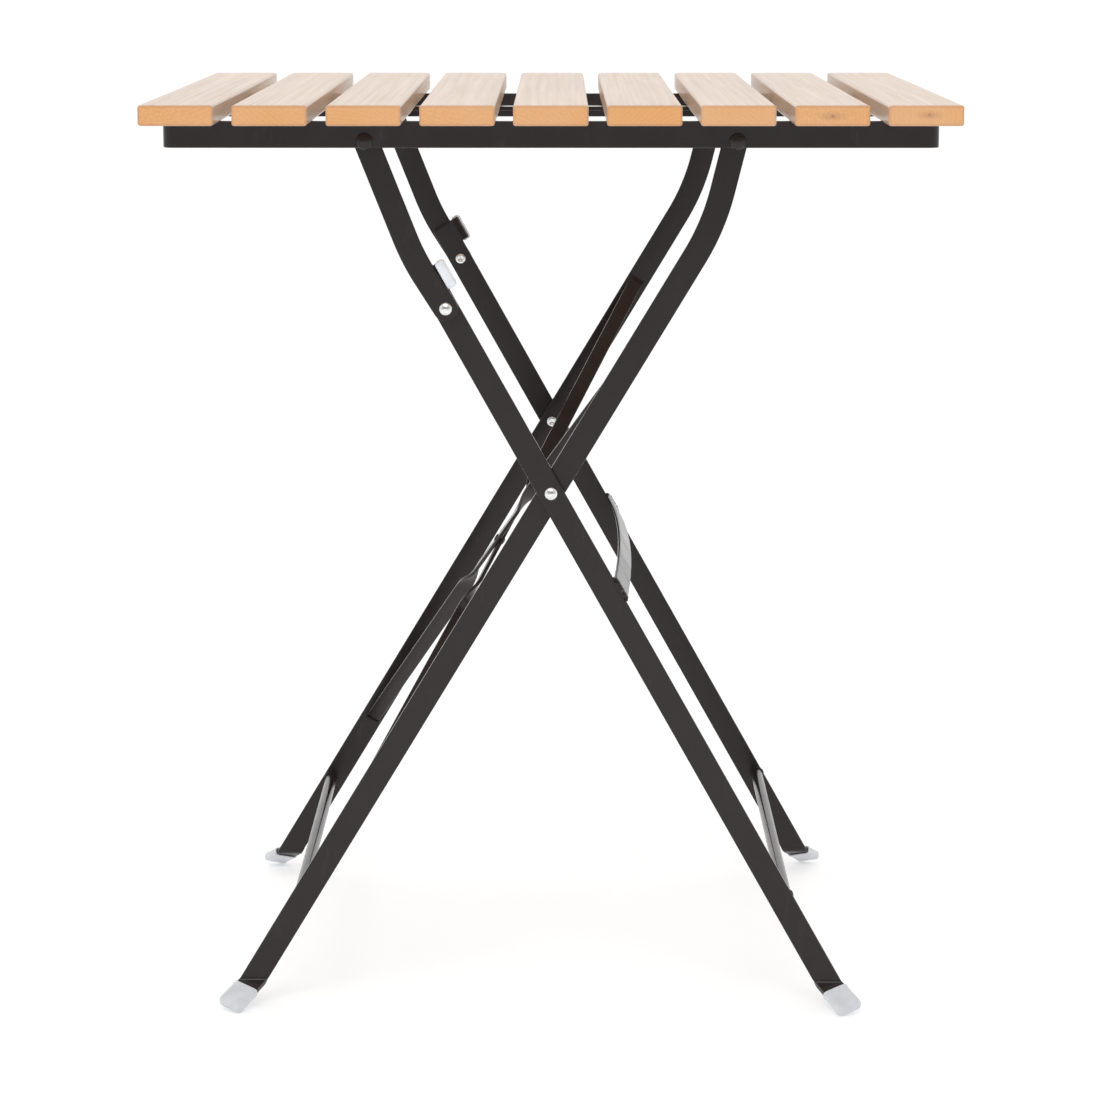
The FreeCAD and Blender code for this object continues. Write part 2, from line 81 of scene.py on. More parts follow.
# Half of the brace rivet, as (radius, height) pairs.
BRACE_RIVET = ((0, -1.0), (2.0, -1.0), (2.0, 0.0), (3.2, 0.0), (3.2, 0.35), (2.9, 0.8), (2.2, 1.15),
               (1.1, 1.28), (0, 1.3))
PIN_RADIUS = 3.0
# Fastener heads, as (radius, height, height of the straight edge).
PIN_HEAD = (6.3, 3.4, 0.7)
RIVET_HEAD = (5.0, 2.6, 0.5)
PIVOT_GAP = 0.1
TAIL_RADIUS = 4.4
EAR_START = 13.0
EAR_END = 33.0
EAR_THICKNESS = 5.0
EAR_REACH = 7.5
EAR_BEND_RADIUS = 6.0
SLEEVE_WALL = 1.4
SLEEVE_CORNER = 2.6
# A sleeve's outer end, as the distance back from its tip and the growth of the section.
SLEEVE_TIP = ((2.2, 0.0), (1.4, -0.3), (0.7, -0.8), (0.2, -1.6), (0.0, -2.4))
STOP_CLEARANCE = 0.3
TOE_BEND = math.radians(60.0)
TOE_INNER_RADIUS = 3.0
TOE_LENGTH = 29.0
CAP_LENGTH = 23.0
CAP_WALL = 1.3
CAP_FLAT = 2.0
CAP_CORNER = 4.5
CAP_NOSE = 2.6
CAP_NOSE_DEGREES = (10, 22, 34, 46, 58, 68, 77, 85)
# A cap's nose slims evenly up to the crown's degrees and along a quarter circle past them.
CAP_CROWN_DEGREES = 40
CAP_CROWN_SLOPE = 0.25
CAP_WAIST = 0.25
CAP_MARGIN = 4.0
SLAT_EDGE = 2.0
SLAT_END_EASE = 0.9
SLAT_END_MARGIN = 6.0
SLATS_WITH_PITH = (8, 9)
RING_SEAM_X = 30.0
SCREW_HEAD_RADIUS = 3.6
SCREW_RADIUS = 1.75
RECESS_ARM = 1.9
RECESS_HALF_WIDTH = 0.45

# A cap's mouth, as the distance in from its rim and the growth past its flat sides.
CAP_MOUTH = ((3.0, -CAP_WALL - 0.2), (0.2, -CAP_WALL + 0.25), (0.0, -CAP_WALL + 0.6), (0.0, -0.35),
             (0.35, 0.0), (2.6, 0.0), (3.0, -CAP_WAIST), (3.4, -CAP_WAIST))
# A screw from its buried end to the rim of its recess, then the recess: radius or scale, and drop.
SCREW_PROFILE = ((SCREW_RADIUS, -6.0), (SCREW_RADIUS, 0.0), (SCREW_HEAD_RADIUS, 0.0),
                 (SCREW_HEAD_RADIUS, 0.7), (3.4, 1.35), (2.9, 1.85), (2.3, 2.1))
SCREW_RECESS = ((1.0, 2.12), (0.8, 0.9))
# A bar's half-round end, as degrees round from its tip.
ROUND_END_DEGREES = (6, 12, 20, 30, 40, 50, 60, 70, 80)

# ---- weld beads ----
BEAD_STEP = 0.6
BEAD_RIPPLE = 1.7
BEAD_WAIST = 0.86
BEAD_SWELL = 0.14
BEAD_JITTER = 0.07
BEAD_TIP = 0.35
BEAD_SIDES = 8
RING_BEAD = 0.55
STRAP_BEAD = 1.3
TAB_BEAD = 1.1
STRIP_SIDE_BEAD = 1.5
STRIP_END_BEAD = 2.5
STRIP_END_RIPPLE = 3.4
STRIP_END_REACH = 7.5
TUBE_BEAD = 1.25
BRACE_BEAD = 1.1

# ---- light and camera, in metres, watts and degrees ----
CAMERA_LENS = 116.5
CAMERA_PLACE = (0.0053, -2.8967, 0.8312)
CAMERA_DOWN = 9.88
CAMERA_TURN = 0.13
LIGHT_TARGET = (0, 0, 0.6)
LIGHTS = (("overhead", (0, 0.5, 2.8), (2.2, 2.2), 3), ("front_high", (-0.3, -2.2, 2.6), (2.2, 1.0), 27))
FLOOR_HALF_SIZE = 60.0
FLOOR_DROP = 0.0003
FLOOR_GLOW = 0.26
# Studio brightness along Y, as (from, to, brightness at from, brightness at to): dim behind
# the camera, brighter behind the table.
WORLD_GLOW = ((-0.95, -0.35, 0.32, 1.0), (0.25, 0.95, 0.0, 0.12))


def corners_mm(node):
    low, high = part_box(node)
    return low / MM, high / MM


def joint_place(name):
    for joint in frame["joints"]:
        if joint["name"] == name:
            x, _, z = joint["pos_m"]
            return Vector((x / MM, 0, z / MM))
    raise KeyError(name)


def middle_of(node):
    low, high = corners_mm(node)
    return (low + high) / 2


def slat_nodes():
    count = sum(1 for node in frame["nodes"] if node.startswith("slat_") and node[5:].isdigit())
    return ["slat_%d" % (i + 1) for i in range(count)]


def slat_centres():
    return [middle_of(node).x for node in slat_nodes()]


# ---- places, from the CAD frame ----
RING_LOW, RING_HIGH = corners_mm("top_ring")
PIVOT_A = joint_place("link_fold")
PIVOT_B = joint_place("leg_b_fold")
KNUCKLE = joint_place("knuckle_fold")
CROSSING = middle_of("crossing_washers")
LINK_INNER, LINK_OUTER = corners_mm("upper_link_back")[0].y, corners_mm("upper_link_back")[1].y
LEG_A_INNER = corners_mm("leg_a_back")[0].y
LEG_A_OUTER = LEG_A_INNER + BAR_THICKNESS
LEG_B_INNER = corners_mm("leg_b_back")[0].y
LEG_B_OUTER = LEG_B_INNER + BAR_THICKNESS


def down_direction(degrees_from_vertical):
    a = math.radians(degrees_from_vertical)
    return Vector((math.sin(a), 0, -math.cos(a)))


def right_of(direction):
    return Vector((-direction.z, 0, direction.x))


class LegLine:
    """Places measured from the crossing: s down the leg, n to its right, y straight through."""

    def __init__(self, down):
        self.down = down
        self.right = right_of(down)

    def at(self, s, n, y):
        return CROSSING + self.down * s + self.right * n + Y_AXIS * y

    def local(self, place):
        offset = place - CROSSING
        return offset.dot(self.down), offset.dot(self.right)


LEGS_A = LegLine((CROSSING - KNUCKLE).normalized())
LEGS_B = LegLine(down_direction(-LEG_B_LEAN))
KNUCKLE_TO_CROSSING = (CROSSING - KNUCKLE).length


# ---- mesh helpers ----
def rounded_section(half_w, half_t, radius, steps=3):
    """A rounded rectangle as (w, t) pairs."""
    r = min(radius, half_w * 0.98, half_t * 0.98)
    points = []
    for sign_w, sign_t, start in ((1, 1, 0), (-1, 1, 90), (-1, -1, 180), (1, -1, 270)):
        for i in range(steps + 1):
            a = math.radians(start + 90 * i / steps)
            points.append((sign_w * (half_w - r) + r * math.cos(a),
                           sign_t * (half_t - r) + r * math.sin(a)))
    return points


def place_section(section, centre, wide, thick):
    return [centre + wide * w + thick * t for w, t in section]


def loft(bm, rings, closed=False):
    """Skin through rings of the same number of points, with its ends filled."""
    rows = [[bm.verts.new(p * MM) for p in ring] for ring in rings]
    spans = list(zip(rows, rows[1:]))
    if closed:
        spans.append((rows[-1], rows[0]))
    count = len(rows[0])
    for low, high in spans:
        for i in range(count):
            j = (i + 1) % count
            bm.faces.new((low[i], low[j], high[j], high[i]))
    if not closed:
        bm.faces.new(rows[0])
        bm.faces.new(rows[-1][::-1])


def lathe(bm, profile, place, axis, segments=48):
    """Solid of revolution from (radius, height) pairs that start and end on the axis."""
    side = axis.orthogonal().normalized()
    other = axis.cross(side)
    first = bm.verts.new((place + axis * profile[0][1]) * MM)
    last = bm.verts.new((place + axis * profile[-1][1]) * MM)
    rows = []
    for radius, height in profile[1:-1]:
        row = []
        for i in range(segments):
            a = 2 * math.pi * i / segments
            offset = (side * math.cos(a) + other * math.sin(a)) * radius
            row.append(bm.verts.new((place + offset + axis * height) * MM))
        rows.append(row)
    for i in range(segments):
        j = (i + 1) % segments
        bm.faces.new((first, rows[0][i], rows[0][j]))
        bm.faces.new((last, rows[-1][j], rows[-1][i]))
        for low, high in zip(rows, rows[1:]):
            bm.faces.new((low[i], high[i], high[j], low[j]))


def add_piece(name, bm, material, body, nodes=(), sharp_angle=38.0):
    """Turns a finished bmesh into an object that rides on a body and stands for CAD nodes."""
    bmesh.ops.recalc_face_normals(bm, faces=bm.faces)
    mesh = bpy.data.meshes.new(name)
    bm.to_mesh(mesh)
    bm.free()
    mesh.polygons.foreach_set("use_smooth", [True] * len(mesh.polygons))
    mesh.set_sharp_from_angle(angle=math.radians(sharp_angle))
    mesh.materials.append(material)
    piece = bpy.data.objects.new(name, mesh)
    bpy.context.scene.collection.objects.link(piece)
    normals = piece.modifiers.new("even_normals", "WEIGHTED_NORMAL")
    normals.keep_sharp = True
    normals.weight = 90
    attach(piece, body)
    if nodes:
        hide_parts(*nodes)
    return piece


def bead(bm, points, radius, seed, closed=False, ripple=BEAD_RIPPLE):
    """A weld bead: a lumpy round run that follows the points."""
    rng = random.Random(seed)
    count = len(points)
    rings = []
    travelled = 0.0
    for i, p in enumerate(points):
        ahead = points[(i + 1) % count] if closed or i + 1 < count else p
        behind = points[i - 1] if closed or i > 0 else p
        along = (ahead - behind).normalized()
        side = along.orthogonal().normalized()
        other = along.cross(side)
        travelled += (p - behind).length
        swell = (BEAD_WAIST + BEAD_SWELL * abs(math.sin(math.pi * travelled / ripple))
                 + rng.uniform(-BEAD_JITTER, BEAD_JITTER))
        if not closed and i in (0, count - 1):
            swell *= BEAD_TIP
        rings.append([p + (side * math.cos(a) + other * math.sin(a)) * radius * swell
                      for a in (2 * math.pi * k / BEAD_SIDES for k in range(BEAD_SIDES))])
    loft(bm, rings, closed)


def line_points(a, b, step=BEAD_STEP):
    count = max(2, int((b - a).length / step))
    return [a.lerp(b, i / count) for i in range(count + 1)]


def circle_points(centre, axis, radius, step=BEAD_STEP):
    side = axis.orthogonal().normalized()
    other = axis.cross(side)
    count = int(2 * math.pi * radius / step)
    return [centre + (side * math.cos(a) + other * math.sin(a)) * radius
            for a in (2 * math.pi * i / count for i in range(count))]


# ---- materials ----
class Nodes:
    """Short names for building a node tree."""

    def __init__(self, name):
        self.material = bpy.data.materials.new(name)
        self.material.use_nodes = True
        self.tree = self.material.node_tree
        self.shader = self.tree.nodes["Principled BSDF"]

    def add(self, kind, inputs=None, **settings):
        node = self.tree.nodes.new(kind)
        for key, value in settings.items():
            setattr(node, key, value)
        for key, value in (inputs or {}).items():
            socket = node.inputs[key]
            if isinstance(value, bpy.types.NodeSocket):
                self.tree.links.new(value, socket)
            else:
                socket.default_value = value
        return node

    def set(self, **values):
        for key, value in values.items():
            socket = self.shader.inputs[key.replace("_", " ")]
            if isinstance(value, bpy.types.NodeSocket):
                self.tree.links.new(value, socket)
            else:
                socket.default_value = value

    def math(self, operation, a, b=0.0, clamp=False):
        node = self.add("ShaderNodeMath", {0: a, 1: b}, operation=operation, use_clamp=clamp)
        return node.outputs[0]

    def times(self, a, b, clamp=False):
        return self.math("MULTIPLY", a, b, clamp)

    def plus(self, a, b):
        return self.math("ADD", a, b)

    def scaled(self, vector, scale):
        node = self.add("ShaderNodeVectorMath", {0: vector, 1: scale}, operation="MULTIPLY")
        return node.outputs[0]

    def scaled_place(self, scale):
        """The place on the piece in metres, times a scale for each axis."""
        return self.scaled(self.add("ShaderNodeTexCoord").outputs["Object"], scale)

    def noise(self, vector, scale, detail=3.0, roughness=0.55):
        node = self.add("ShaderNodeTexNoise", {"Vector": vector, "Scale": scale, "Detail": detail,
                                               "Roughness": roughness})
        return node.outputs["Fac"]

    def between(self, value, low, high, to_low=0.0, to_high=1.0):
        node = self.add("ShaderNodeMapRange", {"Value": value, "From Min": low, "From Max": high,
                                               "To Min": to_low, "To Max": to_high})
        return node.outputs["Result"]

    def mix(self, factor, a, b, blend_type="MIX"):
        node = self.add("ShaderNodeMix", data_type="RGBA", blend_type=blend_type)
        for key, value in (("Factor", factor), ("A", a), ("B", b)):
            socket = next(s for s in node.inputs
                          if s.name == key and s.type == ("VALUE" if key == "Factor" else "RGBA"))
            if isinstance(value, bpy.types.NodeSocket):
                self.tree.links.new(value, socket)
            else:
                socket.default_value = value
        return next(s for s in node.outputs if s.type == "RGBA")

    def bump(self, height, distance, strength=1.0, normal=None):
        node = self.add("ShaderNodeBump", {"Height": height, "Distance": distance,
                                           "Strength": strength})
        if normal:
            self.tree.links.new(normal, node.inputs["Normal"])
        return node.outputs["Normal"]


def rgb(r, g, b):
    return (r, g, b, 1.0)


COAT_DEEP, COAT_PALE = rgb(0.0145, 0.0088, 0.0083), rgb(0.0185, 0.0122, 0.0115)
COAT_RUBBED = rgb(0.042, 0.038, 0.036)
COAT_DUST = rgb(0.10, 0.095, 0.09)
SIDE_LIGHT, SIDE_DARK = rgb(0.53, 0.385, 0.280), rgb(0.42, 0.275, 0.175)
END_LIGHT, END_DARK = rgb(0.750, 0.385, 0.150), rgb(0.630, 0.290, 0.100)
# The colour below is painted shade, darkening the outline of each slat end.
END_OUTLINE_SHADE = rgb(0.50, 0.22, 0.12)
PITH_SMUDGE = rgb(0.36, 0.125, 0.045)
PITH_CORE = rgb(0.16, 0.045, 0.020)
PORE_BROWN = rgb(0.30, 0.125, 0.045)
PATCH_GOLD = rgb(0.74, 0.52, 0.36)
RING_SPACING = 0.0031


def powder_coat():
    """Near-black satin powder coat with its orange peel, a little dust and faint rubbing."""
    m = Nodes("black_powder_coat")
    place = m.scaled_place((1, 1, 1))
    peel = m.noise(place, 900.0, 2.0)
    pebble = m.noise(place, 330.0, 2.0)
    patches = m.noise(place, 28.0, 4.0, 0.65)
    dust = m.between(m.noise(place, 1500.0, 1.0), 0.70, 0.80)
    rub = m.between(m.noise(m.scaled_place((1, 1, 0.3)), 75.0, 5.0, 0.7), 0.60, 0.78)
    black = m.mix(m.between(patches, 0.35, 0.7), COAT_DEEP, COAT_PALE)
    rubbed = m.mix(m.times(rub, 0.35), black, COAT_RUBBED)
    polish = m.plus(patches, m.times(rub, -0.25))
    m.set(Base_Color=m.mix(m.times(dust, 0.18), rubbed, COAT_DUST),
          Roughness=m.between(polish, 0.2, 0.75, 0.15, 0.27),
          Normal=m.bump(peel, 0.00004, 0.20, m.bump(pebble, 0.00008, 0.15)),
          Specular_IOR_Level=0.36)
    return m.material


def year_rings(m, across, upward, warp):
    """The distance from the heart, and thin ring lines a little out of round."""
    heart_distance = m.math("SQRT", m.plus(m.times(across, across), m.times(upward, upward)))
    wavy_distance = m.plus(heart_distance, m.times(warp, 0.012))
    rings = m.between(m.math("SINE", m.times(wavy_distance, 2 * math.pi / RING_SPACING)), -1, 1)
    return heart_distance, m.math("POWER", rings, 3.0)


def painted_end_outline_shade(m, split, centre, half):
    """Mask for painted shade: 1 at the outline of a slat's end, falling to 0 within 2.1 mm of it."""
    rims = []
    for axis, middle, reach in (("X", centre.x, half.x), ("Z", centre.z, half.z)):
        away = m.math("ABSOLUTE", m.math("SUBTRACT", split.outputs[axis], middle * MM))
        rims.append(m.between(away, (reach - 2.1) * MM, (reach - 1.1) * MM))
    return m.math("MAXIMUM", *rims)


def with_pith(m, end_grain, across, upward, heart_distance, fibre, streak):
    """Adds a smudge spread along the slat's width, and the small dark core in its middle."""
    flat_distance = m.math("SQRT", m.plus(m.times(across, m.times(across, 0.10)),
                                          m.times(upward, upward)))
    smudge = m.between(flat_distance, 0.0038, 0.0008)
    smudged = m.mix(m.times(m.times(smudge, streak), 0.9, True), end_grain, PITH_SMUDGE)
    core = m.times(m.between(heart_distance, 0.0019, 0.0004), m.between(fibre, 0.40, 0.56))
    return m.mix(core, smudged, PITH_CORE)


def varnished_wood(number, heart_x, heart_z, pith, centre, half):
    """One slat's wood: rings round its own heart, fibres along Y, pores, and clear varnish."""
    m = Nodes("varnished_wood_%d" % number)
    drift = Vector((number * 1.37, number * 0.71, number * 2.13))
    coordinates = m.add("ShaderNodeTexCoord")
    place = coordinates.outputs["Object"]
    moved = m.add("ShaderNodeVectorMath", {0: place, 1: drift}, operation="ADD").outputs[0]
    warp = m.noise(m.scaled(moved, (1, 0.03, 1)), 24.0, 3.0)
    fibre = m.noise(m.scaled(moved, (1, 0.018, 1)), 1150.0, 3.0, 0.6)
    streak = m.noise(m.scaled(moved, (1, 0.014, 1)), 210.0, 4.0, 0.6)
    shade = m.noise(m.scaled(moved, (1, 0.25, 1)), 11.0, 2.0)
    pores = m.between(m.noise(m.scaled(moved, (1, 0.035, 1)), 1500.0, 1.0), 0.60, 0.74)
    ripple = m.noise(m.scaled(moved, (1, 0.12, 1)), 60.0, 2.0)

    split = m.add("ShaderNodeSeparateXYZ", {"Vector": place})
    across = m.math("SUBTRACT", split.outputs["X"], heart_x * MM)
    upward = m.math("SUBTRACT", split.outputs["Z"], heart_z * MM)
    heart_distance, ring_line = year_rings(m, across, upward, warp)

    long_grain = m.mix(m.times(ring_line, 0.42), SIDE_LIGHT, SIDE_DARK)
    long_grain = m.mix(m.between(streak, 0.35, 0.75, 0.0, 0.5), long_grain, SIDE_DARK)
    end_grain = m.mix(m.times(ring_line, 0.30), END_LIGHT, END_DARK)
    end_grain = m.mix(m.between(fibre, 0.38, 0.72, 0.0, 0.6), end_grain, END_DARK)
    if pith:
        end_grain = with_pith(m, end_grain, across, upward, heart_distance, fibre, streak)
    # Painted shade: the end grain is darkened towards the outline of each slat end.
    end_grain = m.mix(m.times(painted_end_outline_shade(m, split, centre, half), 0.5), end_grain, END_OUTLINE_SHADE)

    normal = m.add("ShaderNodeSeparateXYZ", {"Vector": coordinates.outputs["Normal"]})
    is_end = m.between(m.math("ABSOLUTE", normal.outputs["Y"]), 0.45, 0.75)
    colour = m.mix(is_end, long_grain, end_grain)
    colour = m.mix(m.times(pores, 0.45), colour, PORE_BROWN)
    colour = m.mix(m.between(shade, 0.3, 0.7, 0.0, 0.30), colour, PATCH_GOLD)
    relief = m.plus(m.times(fibre, 0.6), m.times(ring_line, 0.25))
    m.set(Base_Color=colour,
          Roughness=m.between(streak, 0.3, 0.7, 0.38, 0.52),
          Normal=m.bump(relief, 0.00008, 0.45),
          Specular_IOR_Level=0.12,
          Coat_Weight=0.48, Coat_Roughness=0.18, Coat_IOR=1.5,
          Coat_Normal=m.bump(ripple, 0.00016, 0.5))
    return m.material


def zinc(name, light, dark, roughness):
    m = Nodes(name)
    place = m.scaled_place((1, 1, 1))
    spangle = m.noise(place, 420.0, 3.0)
    m.set(Base_Color=m.mix(m.between(spangle, 0.35, 0.65), light, dark),
          Roughness=m.between(m.noise(place, 900.0, 2.0), 0.3, 0.7, roughness, roughness + 0.14),
          Normal=m.bump(m.noise(place, 1300.0, 2.0), 0.00003, 0.5),
          Metallic=1.0)
    return m.material


def soft_plastic(name, light, dark, roughness, scatter):
    """Translucent moulded plastic: a little cloudy, with a fine satin skin."""
    m = Nodes(name)
    place = m.scaled_place((1, 1, 1))
    cloud = m.noise(place, 95.0, 3.0)
    m.set(Base_Color=m.mix(m.between(cloud, 0.35, 0.65), light, dark),
          Roughness=m.between(m.noise(place, 300.0, 3.0), 0.3, 0.7, roughness, roughness + 0.12),
          Normal=m.bump(m.noise(place, 1100.0, 2.0), 0.00004, 0.5),
          Subsurface_Weight=scatter, Subsurface_Scale=0.004, Subsurface_Radius=(1.0, 1.0, 1.0))
    return m.material


COAT = powder_coat()
RIVET_ZINC = zinc("rivet_zinc", rgb(0.86, 0.86, 0.84), rgb(0.66, 0.67, 0.67), 0.17)
SCREW_ZINC = zinc("screw_zinc", rgb(0.72, 0.70, 0.62), rgb(0.55, 0.53, 0.47), 0.30)
CAP_PLASTIC = soft_plastic("cap_plastic", rgb(0.67, 0.685, 0.72), rgb(0.59, 0.61, 0.65), 0.28, 0.35)
SLEEVE_PLASTIC = soft_plastic("sleeve_plastic", rgb(0.82, 0.85, 0.89), rgb(0.75, 0.79, 0.84), 0.26, 0.5)


# ---- slats ----
def slat_rings(centre, half, sway, phase):
    """Sections along a slat, eased at both ends and swaying a little from side to side."""
    end = [(-half.y, SLAT_END_EASE), (-half.y + 0.25, 0.4 * SLAT_END_EASE), (-half.y + SLAT_END_EASE, 0.0)]
    first, run = -half.y + SLAT_END_MARGIN, 2 * half.y - 2 * SLAT_END_MARGIN
    steps = 36
    stops = end + [(first + run * i / steps, 0.0) for i in range(steps + 1)]
    stops += [(-y, inset) for y, inset in reversed(end)]
    rings = []
    for y, inset in stops:
        bend = sway * math.sin(2.2 * math.pi * y / (2 * half.y) + phase)
        section = rounded_section(half.x - inset - sway, half.z - inset - 0.02, SLAT_EDGE, 5)
        rings.append(place_section(section, Vector((centre.x + bend, y, centre.z)), X_AXIS, Z_AXIS))
    return rings


def make_slats():
    rng = random.Random(11)
    for number, node in enumerate(slat_nodes(), 1):
        low, high = corners_mm(node)
        centre = (low + high) / 2
        half = (high - low) / 2
        has_pith = number in SLATS_WITH_PITH
        if has_pith:
            heart_x = centre.x + rng.uniform(-3, 3)
            heart_z = centre.z + rng.uniform(-1, 1)
        else:
            heart_x = centre.x + rng.uniform(-60, 60)
            heart_z = centre.z + rng.choice((-1, 1)) * rng.uniform(18, 70)
        sway = rng.uniform(0.05, 0.18)
        phase = rng.uniform(0, 6.28)
        bm = bmesh.new()
        loft(bm, slat_rings(centre, half, sway, phase))
        wood = varnished_wood(number, heart_x, heart_z, has_pith, centre, half)
        add_piece(node + "_wood", bm, wood, TABLE_TOP, [node])


# ---- ring, strap, tabs and screws under the slats ----
def make_ring():
    half_x, half_y = RING_HIGH.x, RING_HIGH.y
    half_height = (RING_HIGH.z - RING_LOW.z) / 2
    middle_z = (RING_HIGH.z + RING_LOW.z) / 2
    mid_radius = RING_CORNER - RING_THICKNESS / 2
    path = []
    for sign_x, sign_y, start in ((1, 1, 0), (-1, 1, 90), (-1, -1, 180), (1, -1, 270)):
        for i in range(9):
            a = math.radians(start + 90 * i / 8)
            outward = Vector((math.cos(a), math.sin(a), 0))
            corner = Vector((sign_x * (half_x - RING_CORNER), sign_y * (half_y - RING_CORNER), 0))
            path.append((corner + outward * mid_radius, outward))
    section = rounded_section(half_height, RING_THICKNESS / 2, 0.9)
    rings = [place_section(section, p + Z_AXIS * middle_z, Z_AXIS, outward) for p, outward in path]
    bm = bmesh.new()
    loft(bm, rings, closed=True)
    seam_y = -half_y + 0.1
    bead(bm, line_points(Vector((RING_SEAM_X, seam_y, RING_LOW.z + 0.7)),
                         Vector((RING_SEAM_X, seam_y, RING_HIGH.z - 0.7))), RING_BEAD, 3)
    add_piece("ring_bar", bm, COAT, TABLE_TOP, ["top_ring"])


def flat_plate(bm, low, high, edge=0.5):
    """Rounded plate between two corners, lofted along its longest side in X or Y."""
    centre, half = (low + high) / 2, (high - low) / 2
    along, wide = (X_AXIS, Y_AXIS) if half.x > half.y else (Y_AXIS, X_AXIS)
    length, width = (half.x, half.y) if half.x > half.y else (half.y, half.x)
    rings = []
    for place, inset in ((-length, edge), (-length + edge, 0), (length - edge, 0), (length, edge)):
        section = rounded_section(width - inset * 0.5, half.z - inset * 0.5, edge)
        rings.append(place_section(section, centre + along * place, wide, Z_AXIS))
    loft(bm, rings)


def make_strap():
    low, high = corners_mm("centre_strap")
    bm = bmesh.new()
    flat_plate(bm, low, high)
    for x, way in ((low.x, 1), (high.x, -1)):
        bead(bm, line_points(Vector((x + way * 0.6, low.y + 1, low.z + 0.2)),
                             Vector((x + way * 0.6, high.y - 1, low.z + 0.2))), STRAP_BEAD, int(x))
    add_piece("strap_bar", bm, COAT, TABLE_TOP, ["centre_strap"])


def make_tabs():
    for side, sign in SIDES.items():
        node = "slat_tabs_" + side
        low, high = corners_mm(node)
        width = high.x - low.x - (slat_centres()[-1] - slat_centres()[0])
        bm = bmesh.new()
        for x in slat_centres():
            flat_plate(bm, Vector((x - width / 2, low.y, low.z)), Vector((x + width / 2, high.y, high.z)))
            wall = high.y - 0.5 if sign > 0 else low.y + 0.5
            bead(bm, line_points(Vector((x - width / 2 + 2, wall, low.z + 0.1)),
                                 Vector((x + width / 2 - 2, wall, low.z + 0.1))), TAB_BEAD, int(x) + sign)
        add_piece("tabs_" + side, bm, COAT, TABLE_TOP, [node])


def plus_radius(angle, arm, half_width):
    """Distance from the middle of a plus sign to its outline at an angle."""
    c, s = abs(math.cos(angle)) + 1e-6, abs(math.sin(angle)) + 1e-6
    return max(min(arm / c, half_width / s), min(arm / s, half_width / c))


def screw_rings(x, y, seat, turn, segments=32):
    """One screw from its buried end down round its head and into its cross recess."""
    angles = [2 * math.pi * i / segments for i in range(segments)]
    outlines = [[radius] * segments for radius, _ in SCREW_PROFILE]
    outlines += [[plus_radius(a, RECESS_ARM, RECESS_HALF_WIDTH) * scale for a in angles]
                 for scale, _ in SCREW_RECESS]
    rings = []
    for outline, (_, drop) in zip(outlines, SCREW_PROFILE + SCREW_RECESS):
        rings.append([Vector((x + radius * math.cos(a + turn), y + radius * math.sin(a + turn), seat - drop))
                      for radius, a in zip(outline, angles)])
    return rings


def make_screws():
    """Pan-head screws with a cross recess, heads down under the strap and the tabs."""
    bm = bmesh.new()
    rng = random.Random(5)
    strap_z = corners_mm("centre_strap")[0].z
    tab_z = corners_mm("slat_tabs_back")[0].z
    screw_y = corners_mm("slat_screws")[1].y - SCREW_HEAD_RADIUS
    for x in slat_centres():
        for y, seat in ((-screw_y, tab_z), (0.0, strap_z), (screw_y, tab_z)):
            loft(bm, screw_rings(x, y, seat, rng.uniform(0, 1.5)))
    add_piece("screws", bm, SCREW_ZINC, TABLE_TOP, ["slat_screws"], 30.0)


# ---- flat bars ----
def meeting_point(p, direction_p, q, direction_q):
    gap = q - p
    cross = direction_p.x * direction_q.z - direction_p.z * direction_q.x
    return p + direction_p * ((gap.x * direction_q.z - gap.z * direction_q.x) / cross)


def bent_path(start, corner, end, steps=14):
    """(place, direction) pairs along a bar with one bend in the plane y = 0."""
    first, second = (corner - start).normalized(), (end - corner).normalized()
    turn = first.angle(second)
    tangent = BAR_BEND_RADIUS * math.tan(turn / 2)
    way = 1 if right_of(first).dot(second) > 0 else -1
    centre = corner - first * tangent + right_of(first) * (way * BAR_BEND_RADIUS)
    path = [(start, first)]
    for i in range(steps + 1):
        a = turn * i / steps
        direction = first * math.cos(a) + right_of(first) * (way * math.sin(a))
        path.append((centre - right_of(direction) * (way * BAR_BEND_RADIUS), direction))
    path.append((end, second))
    return path


def bar_ring(place, direction, half_width, y, eased=0.0):
    section = rounded_section(half_width, BAR_THICKNESS / 2 - eased, BAR_EDGE)
    return place_section(section, place + Y_AXIS * y, right_of(direction), Y_AXIS)


def round_end_rings(place, direction, y):
    """Rings that close a bar on a half circle about a place, ahead of its straight part."""
    half = BAR_WIDTH / 2
    rings = []
    for degrees in ROUND_END_DEGREES:
        a = math.radians(degrees)
        eased = 0.5 if degrees == ROUND_END_DEGREES[0] else 0.0
        tip = place - direction * (half * math.cos(a))
        rings.append(bar_ring(tip, direction, half * math.sin(a), y, eased))
    return rings


def elbow_centre(leg, angle, outer_y, bend_z):
    slope = leg.down.x / -leg.down.z
    radius = TOE_INNER_RADIUS + BAR_THICKNESS / 2
    x = CROSSING.x + slope * (CROSSING.z - bend_z) + slope * radius * angle
    y = outer_y + TOE_INNER_RADIUS - radius * math.cos(angle)
    return Vector((x, y, bend_z - radius * math.sin(angle)))


